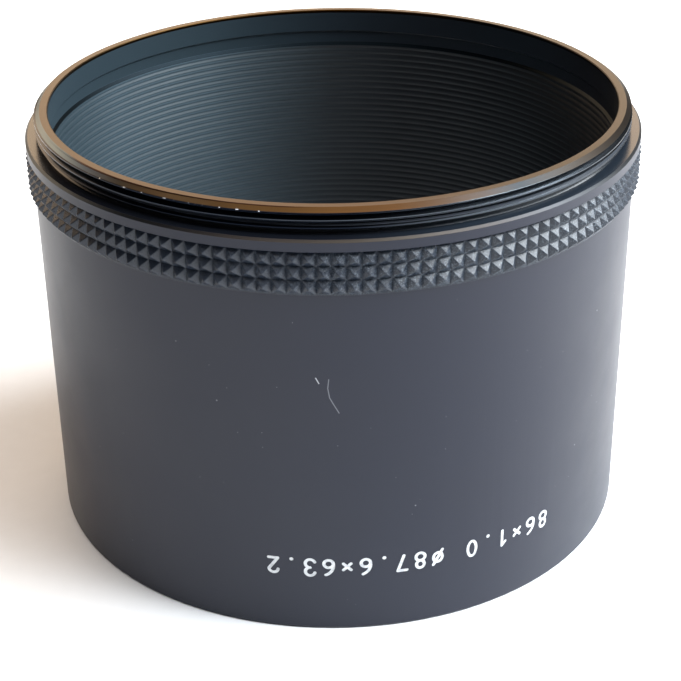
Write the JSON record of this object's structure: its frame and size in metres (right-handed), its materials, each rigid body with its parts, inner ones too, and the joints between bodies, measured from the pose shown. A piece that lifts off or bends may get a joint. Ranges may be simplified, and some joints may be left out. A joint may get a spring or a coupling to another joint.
{
  "type": "lens hood",
  "caption": "Deep cylindrical screw-in metal lens hood with a male filter thread, a rubber grip ring of small pyramids and a ribbed anti-reflection bore.",
  "frame": {"origin": "centre of the mouth face, on the surface that the hood stands on", "axes": "+Z along the optical axis, from the mouth up to the lens thread; -Y towards the front of the hood, beside the start of the size marking"},
  "size_m": [0.0894, 0.0894, 0.0632],
  "materials": {
    "anodised_aluminium": "satin black anodised",
    "rubber": "matte moulded",
    "black_steel": "black oxide",
    "white_paint": "matte white infill in engraved characters"
  },
  "bodies": {
    "root": {"barrel": "anodised_aluminium", "mount_collar": "anodised_aluminium", "grip_ring": "rubber", "lock_screws": "black_steel", "size_marking": "white_paint"}
  },
  "joints": []
}
